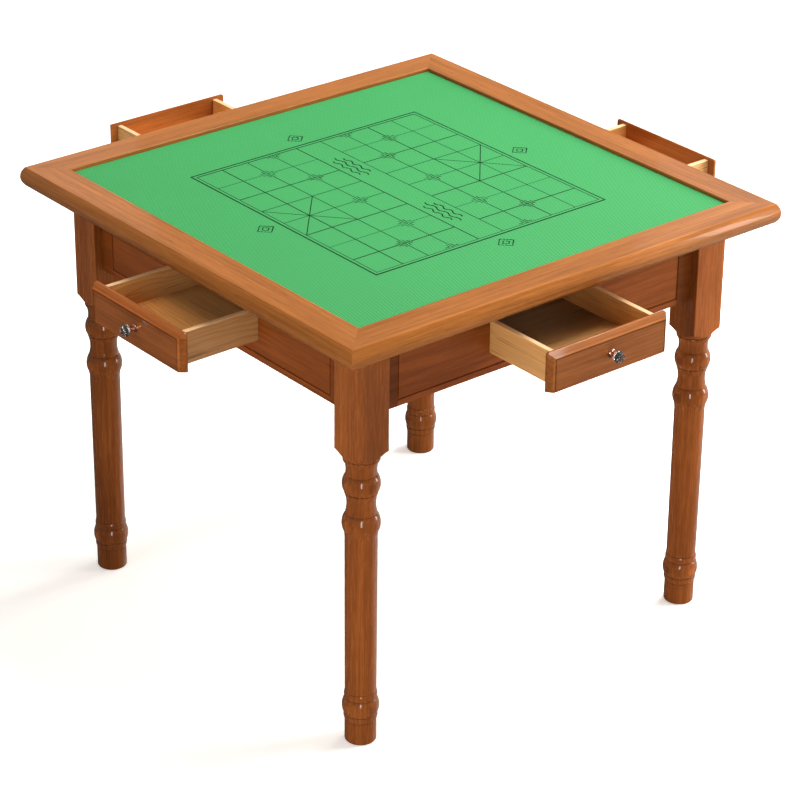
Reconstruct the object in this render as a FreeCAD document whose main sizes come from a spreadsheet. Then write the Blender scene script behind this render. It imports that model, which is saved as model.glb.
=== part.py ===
import FreeCAD
import Part
import Sketcher

import math
import os
import re

# Square game table with a drawer on each side.
#
# Millimetres, +Z up. The origin is on the floor, in the middle of the space that the
# table takes up with its drawers as they stand; middle_x and middle_y lead from there
# to the middle of the top, which every sub-part is drawn about.
# Every side of the table is the same piece of work turned about that middle, so each
# sub-part is drawn as it lies on the front (-Y) side or at the front left (-X -Y)
# corner, and its Placement turns it by quarter turns to where it belongs:
# 0 front, 1 right (+X), 2 back (+Y), 3 left (-X).

document = FreeCAD.newDocument("mahjong_table")
sheet = document.addObject("Spreadsheet::Sheet", "Sizes")

SIZES = (
    # whole table
    ("table_height", 760, "floor to the top of the frame"),
    ("top_side", 900, "outer side of the square top"),
    # mitred frame of the top
    ("rail_width", 62, "top edge of the frame, from its outside to the mat"),
    ("rail_thickness", 34, "depth of the frame's edge"),
    ("ledge_width", 30, "step inside the frame that carries the panel"),
    ("nose_run", 7, "upper half of the bullnose, measured inwards"),
    ("nose_drop", 18, "upper half of the bullnose, measured down"),
    ("nose_radius", 26.5, "bend of the upper half of the bullnose"),
    ("nose_under_run", 7, "lower half of the bullnose, measured inwards"),
    ("nose_under_radius", 22, "bend of the lower half of the bullnose"),
    ("rail_inner_round", 1.6, "eased inner edge of the frame"),
    ("mat_recess", 6, "top of the frame down to the mat"),
    ("mat_thickness", 3, "playing mat"),
    ("core_thickness", 12, "board under the mat"),
    ("panel_play", 0.5, "gap between panel and frame, each side"),
    # legs: square block, two beads, tapered shaft, ball and foot
    ("leg_inset", 62.5, "edge of the top to the leg's outer face"),
    ("leg_block", 61, "side of the square block"),
    ("leg_block_round", 1.5, "eased corners of the block"),
    ("foot_radius", 26, "foot"),
    ("foot_round", 3, "rounded edge of the foot's bottom"),
    ("foot_top", 39, "top of the plain foot"),
    ("foot_ring_top", 51, "top of the ring over the foot"),
    ("foot_ring_radius", 27.5, "foot ring where it meets the ball"),
    ("foot_ring_bend", 16, "bend of the foot ring"),
    ("ball_top", 80.8, "top of the ball"),
    ("ball_neck_radius", 26.4, "ball where it meets the ring above"),
    ("ball_bend", 31, "bend of the ball"),
    ("ball_ring_top", 93, "top of the ring over the ball"),
    ("ball_ring_radius", 25.8, "that ring where it meets the shaft"),
    ("ball_ring_bend", 14.7, "bend of that ring"),
    ("shaft_foot", 107, "where the shaft's taper starts"),
    ("shaft_foot_radius", 25.6, "shaft there"),
    ("shaft_foot_bend", 100, "hollow between that ring and the shaft"),
    ("shaft_head", 370, "where the shaft's taper ends"),
    ("shaft_head_radius", 26.3, "shaft there"),
    ("shaft_head_bend", 60, "hollow between the shaft and the lower bead"),
    ("lower_bead_bottom", 388.6, "where the lower bead starts"),
    ("lower_bead_radius", 27.8, "lower bead there"),
    ("lower_bead_top", 420, "top of the lower bead"),
    ("lower_bead_top_radius", 25.5, "lower bead there"),
    ("lower_bead_bend", 30.7, "bend of the lower bead"),
    ("neck_top", 457.5, "top of the neck between the beads"),
    ("neck_top_radius", 27.2, "neck there"),
    ("neck_bend", 56, "hollow of that neck"),
    ("upper_bead_top", 488.4, "top of the upper bead"),
    ("upper_bead_top_radius", 25.3, "upper bead there"),
    ("upper_bead_bend", 26.6, "bend of the upper bead"),
    ("collar_bottom", 512.5, "top of the upper neck"),
    ("collar_bottom_radius", 27.6, "upper neck there"),
    ("upper_neck_bend", 43, "hollow of the upper neck"),
    ("collar_top", 517.3, "ring from which the shoulder rises"),
    ("collar_radius", 29.3, "that ring"),
    ("collar_bend", 3.5, "bend of the small collar"),
    ("shoulder_bend", 22, "hollow of the shoulder"),
    ("shoulder_top", 531, "where the shoulder reaches the block's corners"),
    ("crease_height", 1.6, "notch that the lathe cuts between two shapes"),
    ("crease_depth", 1.4, "depth of that notch"),
    # aprons
    ("apron_setback", 16.5, "leg's outer face to the apron's outer face"),
    ("apron_thickness", 18, "apron board"),
    ("apron_height", 134.5, "apron board"),
    ("groove_width", 3, "line cut into the apron"),
    ("groove_depth", 2, "depth of that line"),
    ("groove_side_inset", 30, "leg to the middle of the line"),
    ("groove_bottom_inset", 12, "apron's lower edge to the middle of the line"),
    # corner blocks and the bolts that hold the legs
    ("corner_block_reach", 77, "inside corner to the block, along an apron"),
    ("corner_block_thickness", 24, "corner block"),
    ("corner_block_height", 90, "corner block"),
    ("corner_block_drop", 6, "top frame down to the corner block"),
    ("bolt_radius", 4, "hanger bolt"),
    ("bolt_grip", 32, "bolt inside the leg, from the leg's inner corner"),
    ("bolt_end", 14, "bolt past the corner block"),
    ("bolt_play", 0.3, "gap between bolt and bore"),
    ("nut_across", 13, "hexagon nut, across the flats"),
    ("nut_thickness", 6.5, "hexagon nut"),
    # drawer boxes
    ("box_half_width", 110, "middle of the drawer to the outside of its box"),
    ("box_height", 56, "drawer side, lower edge to upper edge"),
    ("box_drop", 43, "top frame down to the upper edge of the drawer sides"),
    ("box_side_thickness", 9, "drawer sides and back"),
    ("box_back_drop", 4, "drawer sides down to the back's upper edge"),
    ("box_bottom_thickness", 4, "drawer bottom"),
    ("box_bottom_lift", 6, "drawer side's lower edge up to the bottom"),
    ("box_bottom_tongue", 3, "drawer bottom inside its grooves"),
    ("box_edge_round", 1, "eased upper edges of the drawer sides"),
    ("long_box_depth", 310, "drawers at front and back"),
    ("short_box_play", 2, "gap from a side drawer's back to the long drawers"),
    ("front_half_width", 125, "middle of the drawer to the end of its front"),
    ("front_height", 67, "drawer front"),
    ("front_rise", 5.5, "drawer sides up to the front's upper edge"),
    ("front_thickness", 14, "drawer front at its raised border"),
    ("front_bevel_width", 9, "sloping border, across the front"),
    ("front_bevel_depth", 11, "sloping border, through its thickness"),
    ("front_corner_round", 5, "upper corners of the front"),
    ("front_shoulder_round", 3, "back edge of the sloping border"),
    ("field_depth", 1, "border down to the flat field"),
    ("field_line_width", 2.4, "line cut into the field along its edge"),
    ("field_line_depth", 1.4, "depth of that line"),
    # how much of each open drawer's box the table still holds
    ("front_drawer_held", 164, "drawer at the front"),
    ("right_drawer_held", 11, "drawer at the right"),
    ("back_drawer_held", 20, "drawer at the back"),
    ("left_drawer_held", 113, "drawer at the left"),
    # runners under the boxes, guides beside them and kickers over them
    ("slide_gap", 0.3, "drawer to what it slides on"),
    ("side_play", 1.5, "drawer side to guide or apron"),
    ("top_play", 1.5, "drawer's upper edge to apron or kicker"),
    ("runner_tread", 14, "runner under the box, measured inwards"),
    ("runner_thickness", 20, "runner, measured down"),
    ("guide_thickness", 16, "guide beside the box"),
    ("guide_height", 18, "guide over the runner's tread"),
    ("kicker_width", 30, "kicker strip"),
    # knobs
    ("knob_plate_radius", 7.5, "plate against the drawer front"),
    ("knob_plate_thickness", 1.6, "that plate"),
    ("knob_stem_radius", 4.6, "stem at its thinnest"),
    ("knob_stem_start", 4, "plate's dome meets the stem"),
    ("knob_stem_end", 9, "stem meets the cup"),
    ("knob_cup_radius", 8.6, "cup that holds the crystal"),
    ("knob_cup_end", 13.5, "drawer front to the cup's rim"),
    ("knob_bend", 6, "hollow curves of plate and cup"),
    ("crystal_back_radius", 8.2, "crystal at the cup"),
    ("crystal_girdle", 4.6, "cup to the crystal's widest ring"),
    ("crystal_radius", 10.6, "crystal at its widest"),
    ("crystal_length", 11.5, "cup to the crystal's flat face"),
    ("crystal_face_radius", 6.6, "crystal's flat face"),
    # tools
    ("run_out", 4, "how far a cut runs past the wood"),
)

for row, (alias, value, meaning) in enumerate(SIZES, start=1):
    sheet.set(f"A{row}", alias)
    sheet.set(f"B{row}", str(value))
    sheet.set(f"C{row}", meaning)
    sheet.setAlias(f"B{row}", alias)
document.recompute()

# Sizes that follow from the ones above.
DERIVED = {
    "middle_x": "(left_drawer_open - right_drawer_open) / 2",
    "middle_y": "(front_drawer_open - back_drawer_open) / 2",
    "top_half": "top_side / 2",
    "opening_half": "top_half - rail_width",
    "ledge_half": "opening_half - ledge_width",
    "frame_bottom": "table_height - rail_thickness",
    "core_top": "table_height - mat_recess - mat_thickness",
    "core_bottom": "core_top - core_thickness",
    "panel_half": "opening_half - panel_play",
    "leg_face": "top_half - leg_inset",
    "leg_axis": "leg_face - leg_block / 2",
    "leg_inner": "leg_face - leg_block",
    "apron_face": "leg_face - apron_setback",
    "apron_back": "apron_face - apron_thickness",
    "apron_bottom": "frame_bottom - apron_height",
    "box_top": "frame_bottom - box_drop",
    "box_bottom": "box_top - box_height",
    "box_inner_half": "box_half_width - box_side_thickness",
    "floor_bottom": "box_bottom + box_bottom_lift",
    "floor_top": "floor_bottom + box_bottom_thickness",
    "short_box_depth": "apron_face - box_half_width - short_box_play",
    "front_drawer_open": "long_box_depth - front_drawer_held",
    "right_drawer_open": "short_box_depth - right_drawer_held",
    "back_drawer_open": "long_box_depth - back_drawer_held",
    "left_drawer_open": "short_box_depth - left_drawer_held",
    "front_top": "box_top + front_rise",
    "front_bottom": "front_top - front_height",
    "field_half": "front_half_width - front_bevel_width",
    "field_top": "front_top - front_bevel_width",
    "field_face": "apron_face + front_thickness - field_depth",
    "tread_top": "box_bottom - slide_gap",
    "guide_inner": "box_half_width + side_play",
    "guide_outer": "guide_inner + guide_thickness",
    "tread_inner": "box_half_width - runner_tread",
    "kicker_bottom": "box_top + top_play",
    "block_top": "frame_bottom - corner_block_drop",
    "block_bottom": "block_top - corner_block_height",
    "block_far_reach": "corner_block_reach + corner_block_thickness * sqrt(2)",
    "bolt_height": "block_top - corner_block_height / 2",
    "bolt_start": "leg_inner * sqrt(2) + bolt_grip",
    "block_plane": "(2 * apron_back - block_far_reach) / sqrt(2)",
}


def formula(text):
    """The text as an expression on the sheet, with derived names written out."""
    def known(match):
        word = match.group()
        if word in DERIVED:
            return "(" + formula(DERIVED[word]) + ")"
        return word if word in ("sqrt", "sin", "cos", "deg") else "Sizes." + word
    return re.sub(r"[a-z_]+", known, text)


def measure(text):
    """The number that a formula gives."""
    return float(sheet.evalExpression(formula(text)))


def turned(x, y, quarter):
    """The formulas of a point on the front side after quarter turns about Z."""
    return ((x, y), (f"-({y})", x), (f"-({x})", f"-({y})"), (y, f"-({x})"))[quarter]


def place(item, quarter=0, x="0", y="0", z="0"):
    """Put an item at a point of the front side, then turn both about the middle."""
    item.Placement.Rotation = FreeCAD.Rotation(FreeCAD.Vector(0, 0, 1), 90 * quarter)
    spot_x, spot_y = turned(x, y, quarter)
    item.setExpression("Placement.Base.x", formula(f"middle_x + ({spot_x})"))
    item.setExpression("Placement.Base.y", formula(f"middle_y + ({spot_y})"))
    item.setExpression("Placement.Base.z", formula(z))


def new_body(label):
    body = document.addObject("PartDesign::Body", label)
    body.Label = label
    return body


def arc_between(start, end, radius):
    """The short arc between two points; it bulges to the right for radius > 0."""
    chord = end - start
    rise = math.sqrt(max(radius * radius - chord.Length ** 2 / 4, 0))
    to_left = FreeCAD.Vector(-chord.y, chord.x, 0).normalize()
    side = 1 if radius > 0 else -1
    centre = (start + end) * 0.5 + to_left * (rise * side)
    first, last = (start, end) if side > 0 else (end, start)
    angles = [math.atan2(p.y - centre.y, p.x - centre.x) for p in (first, last)]
    circle = Part.Circle(centre, FreeCAD.Vector(0, 0, 1), abs(radius))
    return Part.ArcOfCircle(circle, *angles)


def add_loop(sketch, corners):
    """Draw a closed outline and bind every corner to the sheet.

    A corner is (x, y) or (x, y, radius): the edge that leaves it is then an arc of
    that radius, which bulges to the right, or to the left with a minus sign.
    """
    points = [FreeCAD.Vector(measure(c[0]), measure(c[1]), 0) for c in corners]
    ends = []
    for number, corner in enumerate(corners):
        start = points[number]
        end = points[(number + 1) % len(corners)]
        if len(corner) == 2:
            edge = sketch.addGeometry(Part.LineSegment(start, end), False)
            ends.append((edge, 1, 2))
            continue
        radius = measure(corner[2])
        edge = sketch.addGeometry(arc_between(start, end, radius), False)
        ends.append((edge, 1, 2) if radius > 0 else (edge, 2, 1))
        rule = sketch.addConstraint(Sketcher.Constraint("Radius", edge, abs(radius)))
        sketch.setExpression(f"Constraints[{rule}]", formula(corner[2].lstrip("-")))
    for number, (edge, start, _) in enumerate(ends):
        before, _, finish = ends[number - 1]
        sketch.addConstraint(Sketcher.Constraint("Coincident", before, finish, edge, start))
        for kind, text in (("DistanceX", corners[number][0]), ("DistanceY", corners[number][1])):
            rule = sketch.addConstraint(
                Sketcher.Constraint(kind, -1, 1, edge, start, measure(text)))
            sketch.setExpression(f"Constraints[{rule}]", formula(text))


def add_circle(sketch, radius, x="0", y="0"):
    """Draw a circle and bind its radius and centre to the sheet."""
    centre = FreeCAD.Vector(measure(x), measure(y), 0)
    circle = Part.Circle(centre, FreeCAD.Vector(0, 0, 1), measure(radius))
    edge = sketch.addGeometry(circle, False)
    for kind, text in (("DistanceX", x), ("DistanceY", y)):
        rule = sketch.addConstraint(Sketcher.Constraint(kind, -1, 1, edge, 3, measure(text)))
        sketch.setExpression(f"Constraints[{rule}]", formula(text))
    rule = sketch.addConstraint(Sketcher.Constraint("Radius", edge, measure(radius)))
    sketch.setExpression(f"Constraints[{rule}]", formula(radius))


def new_sketch(body, name, plane, offset="0", swing=0):
    """A sketch on one of the body's planes, moved along its normal by an offset.

    XY looks along +Z, XZ along -Y and YZ along +X. Swing turns the sketch about its
    own upright axis, in degrees.
    """
    sketch = body.newObject("Sketcher::SketchObject", name)
    support = [f for f in body.Origin.OriginFeatures if f.Role == plane + "_Plane"][0]
    sketch.AttachmentSupport = [(support, "")]
    sketch.MapMode = "FlatFace"
    turn = FreeCAD.Rotation(FreeCAD.Vector(0, 1, 0), swing)
    along = turn.multVec(FreeCAD.Vector(0, 0, 1))
    sketch.AttachmentOffset = FreeCAD.Placement(FreeCAD.Vector(0, 0, 0), turn)
    for axis, share in (("x", along.x), ("y", along.y), ("z", along.z)):
        sketch.setExpression(f"AttachmentOffset.Base.{axis}", f"({formula(offset)}) * {share:.12f}")
    return sketch


def pad(body, name, sketch, length, symmetric=False):
    feature = body.newObject("PartDesign::Pad", name)
    feature.Profile = sketch
    feature.setExpression("Length", formula(length))
    if symmetric:
        feature.SideType = "Symmetric"
    document.recompute()
    return feature


def pocket(body, name, sketch, depth=None, along_normal=False):
    """Cut a sketch into the body, and make sure that the cut took wood away."""
    before = body.Shape.Volume
    feature = body.newObject("PartDesign::Pocket", name)
    feature.Profile = sketch
    feature.Reversed = along_normal
    if depth is None:
        feature.Type = "ThroughAll"
    else:
        feature.setExpression("Length", formula(depth))
    document.recompute()
    if not body.Shape.Volume < before:
        raise RuntimeError(f"{body.Label}: {name} cuts nothing")
    return feature


def edges_where(feature, test):
    """Names of the feature's edges whose every vertex passes the test."""
    names = []
    for number, edge in enumerate(feature.Shape.Edges, start=1):
        if all(test(vertex.Point) for vertex in edge.Vertexes):
            names.append(f"Edge{number}")
    return names


def round_edges(body, name, base, test, radius):
    feature = body.newObject("PartDesign::Fillet", name)
    feature.Base = (base, edges_where(base, test))
    feature.setExpression("Radius", formula(radius))
    document.recompute()
    return feature


def rectangle(x_low, x_high, y_low, y_high):
    return [(x_low, y_low), (x_high, y_low), (x_high, y_high), (x_low, y_high)]


def box(label, quarter, x_low, x_high, y_low, y_high, z_low, z_high, shift="0"):
    """A square-edged board, given by its faces on the front side."""
    board = document.addObject("Part::Box", label)
    board.Label = label
    board.setExpression("Length", formula(f"({x_high}) - ({x_low})"))
    board.setExpression("Width", formula(f"({y_high}) - ({y_low})"))
    board.setExpression("Height", formula(f"({z_high}) - ({z_low})"))
    place(board, quarter, x_low, f"({y_low}) - ({shift})", z_low)
    return board


def near(value, text):
    return abs(value - measure(text)) < 1e-4


# ---------------------------------------------------------------- top


def make_top_rail(name, quarter):
    """One side of the mitred frame: bullnose outside, panel ledge inside."""
    rail = new_body(name)
    section = new_sketch(rail, name + "_section", "YZ")
    add_loop(section, [
        ("-(top_half - nose_run)", "table_height", "nose_radius"),
        ("-top_half", "table_height - nose_drop", "nose_under_radius"),
        ("-(top_half - nose_under_run)", "frame_bottom"),
        ("-ledge_half", "frame_bottom"),
        ("-ledge_half", "core_bottom"),
        ("-opening_half", "core_bottom"),
        ("-opening_half", "table_height - rail_inner_round", "rail_inner_round"),
        ("-(opening_half + rail_inner_round)", "table_height"),
    ])
    pad(rail, name + "_length", section, "top_side", symmetric=True)
    mitres = new_sketch(rail, name + "_mitres", "XY", "table_height")
    for side in ("", "-"):
        add_loop(mitres, [
            (f"{side}(top_half + run_out)", "-(top_half + run_out)"),
            (f"{side}(ledge_half - run_out)", "-(ledge_half - run_out)"),
            (f"{side}(top_half + run_out)", "-(ledge_half - run_out)"),
        ])
    pocket(rail, name + "_mitre_cut", mitres)
    place(rail, quarter)
    return rail


def make_panel():
    """The board that lies in the frame, and the mat on it."""
    half = "panel_half"
    core = box("core_panel", 0, "-" + half, half, "-" + half, half,
               "core_bottom", "core_top")
    mat = box("playing_mat", 0, "-" + half, half, "-" + half, half,
              "core_top", "core_top + mat_thickness")
    return [core, mat]


# ---------------------------------------------------------------- legs


def crease(radius, height, bend):
    """A narrow notch in a turned outline; an arc of the given bend leaves its top."""
    return [
        (radius, height),
        (f"{radius} - crease_depth", f"{height} + crease_height / 2"),
        (radius, f"{height} + crease_height", bend),
    ]


def make_leg(name, quarter):
    """A turned leg with a square block, drilled for its hanger bolt."""
    leg = new_body(name)
    turning = new_sketch(leg, name + "_turning", "XZ")
    blank_radius = "leg_block"
    outline = [
        ("0", "0"),
        ("foot_radius - foot_round", "0", "foot_round"),
        ("foot_radius", "foot_round"),
    ]
    outline += crease("foot_radius", "foot_top", "foot_ring_bend")
    outline += crease("foot_ring_radius", "foot_ring_top", "ball_bend")
    outline += crease("ball_neck_radius", "ball_top", "ball_ring_bend")
    outline += crease("ball_ring_radius", "ball_ring_top", "-shaft_foot_bend")
    outline += [
        ("shaft_foot_radius", "shaft_foot"),
        ("shaft_head_radius", "shaft_head", "-shaft_head_bend"),
        ("lower_bead_radius", "lower_bead_bottom", "lower_bead_bend"),
    ]
    outline += crease("lower_bead_top_radius", "lower_bead_top", "-neck_bend")
    outline += crease("neck_top_radius", "neck_top", "upper_bead_bend")
    outline += crease("upper_bead_top_radius", "upper_bead_top", "-upper_neck_bend")
    outline += [("collar_bottom_radius", "collar_bottom", "collar_bend")]
    outline += crease("collar_radius", "collar_top", "-shoulder_bend")
    outline += [
        ("leg_block / sqrt(2)", "shoulder_top"),
        (blank_radius, "shoulder_top"),
        (blank_radius, "frame_bottom"),
        ("0", "frame_bottom"),
    ]
    add_loop(turning, outline)
    spin = leg.newObject("PartDesign::Revolution", name + "_spin")
    spin.Profile = turning
    spin.ReferenceAxis = (turning, ["V_Axis"])
    spin.Angle = 360
    document.recompute()
    square = new_sketch(leg, name + "_square", "XY", "frame_bottom")
    waste = "leg_block + run_out"
    add_loop(square, rectangle(f"-({waste})", waste, f"-({waste})", waste))
    half = "leg_block / 2"
    flat = "leg_block / 2 - leg_block_round"
    add_loop(square, [
        (f"-({flat})", f"-({half})"),
        (flat, f"-({half})", "leg_block_round"),
        (half, f"-({flat})"),
        (half, flat, "leg_block_round"),
        (flat, half),
        (f"-({flat})", half, "leg_block_round"),
        (f"-({half})", flat),
        (f"-({half})", f"-({flat})", "leg_block_round"),
    ])
    pocket(leg, name + "_square_cut", square, "frame_bottom - collar_bottom")
    bore = new_sketch(leg, name + "_bore", "XZ", "0", swing=135)
    add_circle(bore, "bolt_radius + bolt_play", y="bolt_height")
    pocket(leg, name + "_bore_cut", bore, "leg_block", along_normal=True)
    place(leg, quarter, "-leg_axis", "-leg_axis")
    return leg


# ---------------------------------------------------------------- aprons and corners


def make_apron(name, quarter):
    """A rail between two legs, with the hole for a drawer and a line cut round it."""
    apron = new_body(name)
    face = new_sketch(apron, name + "_face", "XZ", "apron_back")
    add_loop(face, rectangle("-leg_inner", "leg_inner", "apron_bottom", "frame_bottom"))
    add_loop(face, rectangle("-guide_inner", "guide_inner", "tread_top", "kicker_bottom"))
    pad(apron, name + "_board", face, "apron_thickness")
    line = new_sketch(apron, name + "_line", "XZ", "apron_face")
    far = "leg_inner - groove_side_inset + groove_width / 2"
    close = "leg_inner - groove_side_inset - groove_width / 2"
    low = "apron_bottom + groove_bottom_inset - groove_width / 2"
    high = "apron_bottom + groove_bottom_inset + groove_width / 2"
    past = "frame_bottom + run_out"
    add_loop(line, [
        (f"-({far})", past),
        (f"-({far})", low),
        (far, low),
        (far, past),
        (close, past),
        (close, high),
        (f"-({close})", high),
        (f"-({close})", past),
    ])
    pocket(apron, name + "_line_cut", line, "groove_depth")
    place(apron, quarter)
    return apron


def make_corner_block(name, quarter):
    """The block across an inside corner, which pulls the leg's bolt tight."""
    block = new_body(name)
    outline = new_sketch(block, name + "_outline", "XY", "block_bottom")
    add_loop(outline, [
        ("-apron_back", "-(apron_back - corner_block_reach)"),
        ("-(apron_back - corner_block_reach)", "-apron_back"),
        ("-(apron_back - block_far_reach)", "-apron_back"),
        ("-apron_back", "-(apron_back - block_far_reach)"),
    ])
    pad(block, name + "_height", outline, "corner_block_height")
    bore = new_sketch(block, name + "_bore", "XZ", "0", swing=135)
    add_circle(bore, "bolt_radius + bolt_play", y="bolt_height")
    pocket(block, name + "_bore_cut", bore, "top_side", along_normal=False)
    place(block, quarter)
    return block


def repeat_at_corners(body, feature):
    """Copy a feature to the other three corners."""
    ring = body.newObject("PartDesign::PolarPattern", body.Label + "_corners")
    axis = [f for f in body.Origin.OriginFeatures if f.Role == "Z_Axis"][0]
    ring.Originals = [feature]
    ring.Axis = (axis, [""])
    ring.Angle = 360
    ring.Occurrences = 4
    body.Tip = ring
    document.recompute()


def make_bolts():
    """Four hanger bolts, one through each corner block into its leg."""
    bolts = new_body("leg_bolts")
    section = new_sketch(bolts, "bolt_section", "XZ", "-bolt_start", swing=135)
    add_circle(section, "bolt_radius", y="bolt_height")
    shank = pad(bolts, "bolt_shank", section, "bolt_start - block_plane + bolt_end")
    repeat_at_corners(bolts, shank)
    place(bolts)
    return bolts


def make_nuts():
    """Four hexagon nuts against the corner blocks."""
    nuts = new_body("leg_nuts")
    section = new_sketch(nuts, "nut_section", "XZ", "-block_plane", swing=135)
    tip = "nut_across / sqrt(3)"
    add_loop(section, [
        (f"{tip} * cos({angle} deg)", f"bolt_height + {tip} * sin({angle} deg)")
        for angle in range(0, 360, 60)
    ])
    add_circle(section, "bolt_radius + bolt_play", y="bolt_height")
    nut = pad(nuts, "nut_body", section, "nut_thickness")
    repeat_at_corners(nuts, nut)
    place(nuts)
    return nuts


# ---------------------------------------------------------------- runners and kickers


def make_long_runner(name, quarter):
    """A rail from apron to apron: long drawers slide on it, side drawers end on it."""
    runner = new_body(name)
    tread = new_sketch(runner, name + "_tread", "XY", "tread_top - runner_thickness")
    add_loop(tread, rectangle("tread_inner", "guide_outer", "-apron_back", "apron_back"))
    pad(runner, name + "_bar", tread, "runner_thickness")
    guides = new_sketch(runner, name + "_guides", "XY", "tread_top")
    clear = "guide_inner"
    add_loop(guides, rectangle("guide_inner", "guide_outer", "-apron_back", "-" + clear))
    add_loop(guides, rectangle("guide_inner", "guide_outer", clear, "apron_back"))
    pad(runner, name + "_guide", guides, "guide_height")
    place(runner, quarter)
    return runner


def make_short_runner(name, quarter, hand):
    """One of the two rails of a side drawer; hand is "" or "-" for its side."""
    runner = new_body(name)
    low, high = ("guide_outer", "tread_inner") if hand else ("tread_inner", "guide_outer")
    tread = new_sketch(runner, name + "_tread", "XY", "tread_top - runner_thickness")
    add_loop(tread, rectangle(hand + low, hand + high, "-apron_back", "-guide_outer"))
    pad(runner, name + "_bar", tread, "runner_thickness")
    low, high = ("guide_outer", "guide_inner") if hand else ("guide_inner", "guide_outer")
    guide = new_sketch(runner, name + "_guide", "XY", "tread_top")
    add_loop(guide, rectangle(hand + low, hand + high, "-apron_back", "-guide_outer"))
    pad(runner, name + "_guide_bar", guide, "guide_height")
    place(runner, quarter)
    return runner


def make_kickers():
    """Strips over the drawers: they stop a drawer from tipping and stiffen the panel."""
    half = "kicker_width / 2"
    return [
        box("kicker_long", 0, f"-({half})", half, "-apron_back", "apron_back",
            "kicker_bottom", "core_bottom"),
        box("kicker_right", 1, f"-({half})", half, "-apron_back", f"-({half})",
            "kicker_bottom", "core_bottom"),
        box("kicker_left", 3, f"-({half})", half, "-apron_back", f"-({half})",
            "kicker_bottom", "core_bottom"),
    ]


# ---------------------------------------------------------------- drawers


def make_drawer_front(name, quarter, opened):
    """The lipped front: sloping border on three sides round a flat, lower field."""
    front = new_body(name)
    outline = new_sketch(front, name + "_outline", "XZ", "apron_face")
    edge = "front_half_width"
    add_loop(outline, rectangle("-" + edge, edge, "front_bottom", "front_top"))
    board = pad(front, name + "_board", outline, "front_thickness")
    outer = "-(apron_face + front_thickness)"
    shoulder = "-(apron_face + front_thickness - front_bevel_depth)"

    def on_border(point):
        return near(point.y, outer)

    def on_foot(point):
        return near(point.y, outer) and near(point.z, "front_bottom")

    def on_shoulder(point):
        return near(point.y, shoulder)

    foot = edges_where(board, on_foot)
    bevel = front.newObject("PartDesign::Chamfer", name + "_bevel")
    bevel.Base = (board, [e for e in edges_where(board, on_border) if e not in foot])
    bevel.ChamferType = "Two distances"
    bevel.FlipDirection = True
    bevel.setExpression("Size", formula("front_bevel_width"))
    bevel.setExpression("Size2", formula("front_bevel_depth"))
    document.recompute()
    round_edges(front, name + "_shoulder", bevel, on_shoulder, "front_shoulder_round")
    corners = new_sketch(front, name + "_corners", "XZ", "apron_face + front_thickness + run_out")
    past_side, past_top = "(front_half_width + run_out)", "front_top + run_out"
    inset = "(front_half_width - front_corner_round)"
    for side, bulge in (("", "-"), ("-", "")):
        add_loop(corners, [
            (side + inset, "front_top", bulge + "front_corner_round"),
            (side + edge, "front_top - front_corner_round"),
            (side + past_side, "front_top - front_corner_round"),
            (side + past_side, past_top),
            (side + inset, past_top),
        ])
    pocket(front, name + "_corners_cut", corners)
    field = new_sketch(front, name + "_field", "XZ", "apron_face + front_thickness")
    add_loop(field, rectangle("-field_half", "field_half", "front_bottom - run_out", "field_top"))
    pocket(front, name + "_field_cut", field, "field_depth")
    line = new_sketch(front, name + "_line", "XZ", "field_face")
    past_foot = "front_bottom - run_out"
    add_loop(line, [
        ("-field_half", past_foot),
        ("-(field_half - field_line_width)", past_foot),
        ("-(field_half - field_line_width)", "field_top - field_line_width"),
        ("field_half - field_line_width", "field_top - field_line_width"),
        ("field_half - field_line_width", past_foot),
        ("field_half", past_foot),
        ("field_half", "field_top"),
        ("-field_half", "field_top"),
    ])
    pocket(front, name + "_line_cut", line, "field_line_depth")
    groove = new_sketch(front, name + "_groove", "XZ", "apron_face")
    tongue = "box_inner_half + box_bottom_tongue"
    add_loop(groove, rectangle(f"-({tongue})", tongue, "floor_bottom", "floor_top"))
    pocket(front, name + "_groove_cut", groove, "box_bottom_tongue", along_normal=True)
    place(front, quarter, y=f"-{opened}")
    return front


def make_drawer_side(name, quarter, opened, depth, right):
    """A drawer side with the groove that holds the bottom."""
    side = new_body(name)
    inner, outer = "box_inner_half", "box_half_width"
    outline = new_sketch(side, name + "_outline", "YZ", inner if right else "-" + outer)
    back = f"{depth} - apron_face"
    add_loop(outline, rectangle("-apron_face", back, "box_bottom", "box_top"))
    board = pad(side, name + "_board", outline, "box_side_thickness")
    groove = new_sketch(side, name + "_groove", "YZ", inner if right else "-" + inner)
    add_loop(groove, rectangle("-(apron_face + run_out)", f"{back} + run_out",
                               "floor_bottom", "floor_top"))
    cut = pocket(side, name + "_groove_cut", groove, "box_bottom_tongue", along_normal=right)

    def on_top(point):
        return near(point.z, "box_top")

    names = edges_where(cut, on_top)
    long_edges = [n for n in names if cut.Shape.getElement(n).Length > measure("box_height")]
    eased = side.newObject("PartDesign::Fillet", name + "_eased")
    eased.Base = (cut, long_edges)
    eased.setExpression("Radius", formula("box_edge_round"))
    document.recompute()
    place(side, quarter, y=f"-{opened}")
    return side


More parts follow.
